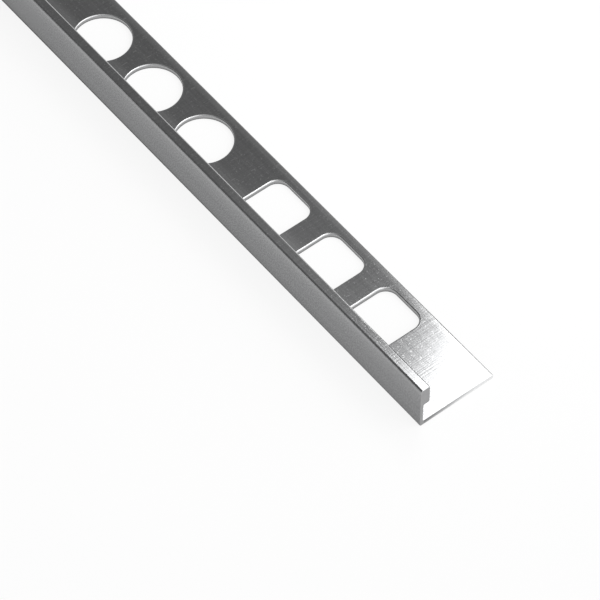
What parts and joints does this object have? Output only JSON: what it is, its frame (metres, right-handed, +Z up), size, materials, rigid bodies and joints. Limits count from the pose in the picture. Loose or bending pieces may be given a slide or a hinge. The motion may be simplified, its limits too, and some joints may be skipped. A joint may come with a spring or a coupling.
{
  "type": "tile edge trim",
  "caption": "Straight L-section edge trim for tiles: satin metal wall with a thick square head, on a flat leg punched with round holes and rounded slots.",
  "frame": {"origin": "centre of the bounding box's bottom face, on the underside of the leg at mid length", "axes": "+X along the trim towards the end in the picture, +Y across the leg away from the wall, +Z up"},
  "size_m": [1, 0.02, 0.0125],
  "materials": {
    "satin_aluminium": "satin, with fine extrusion lines along the length"
  },
  "bodies": {
    "root": {"tile_trim": "satin_aluminium"}
  },
  "joints": []
}
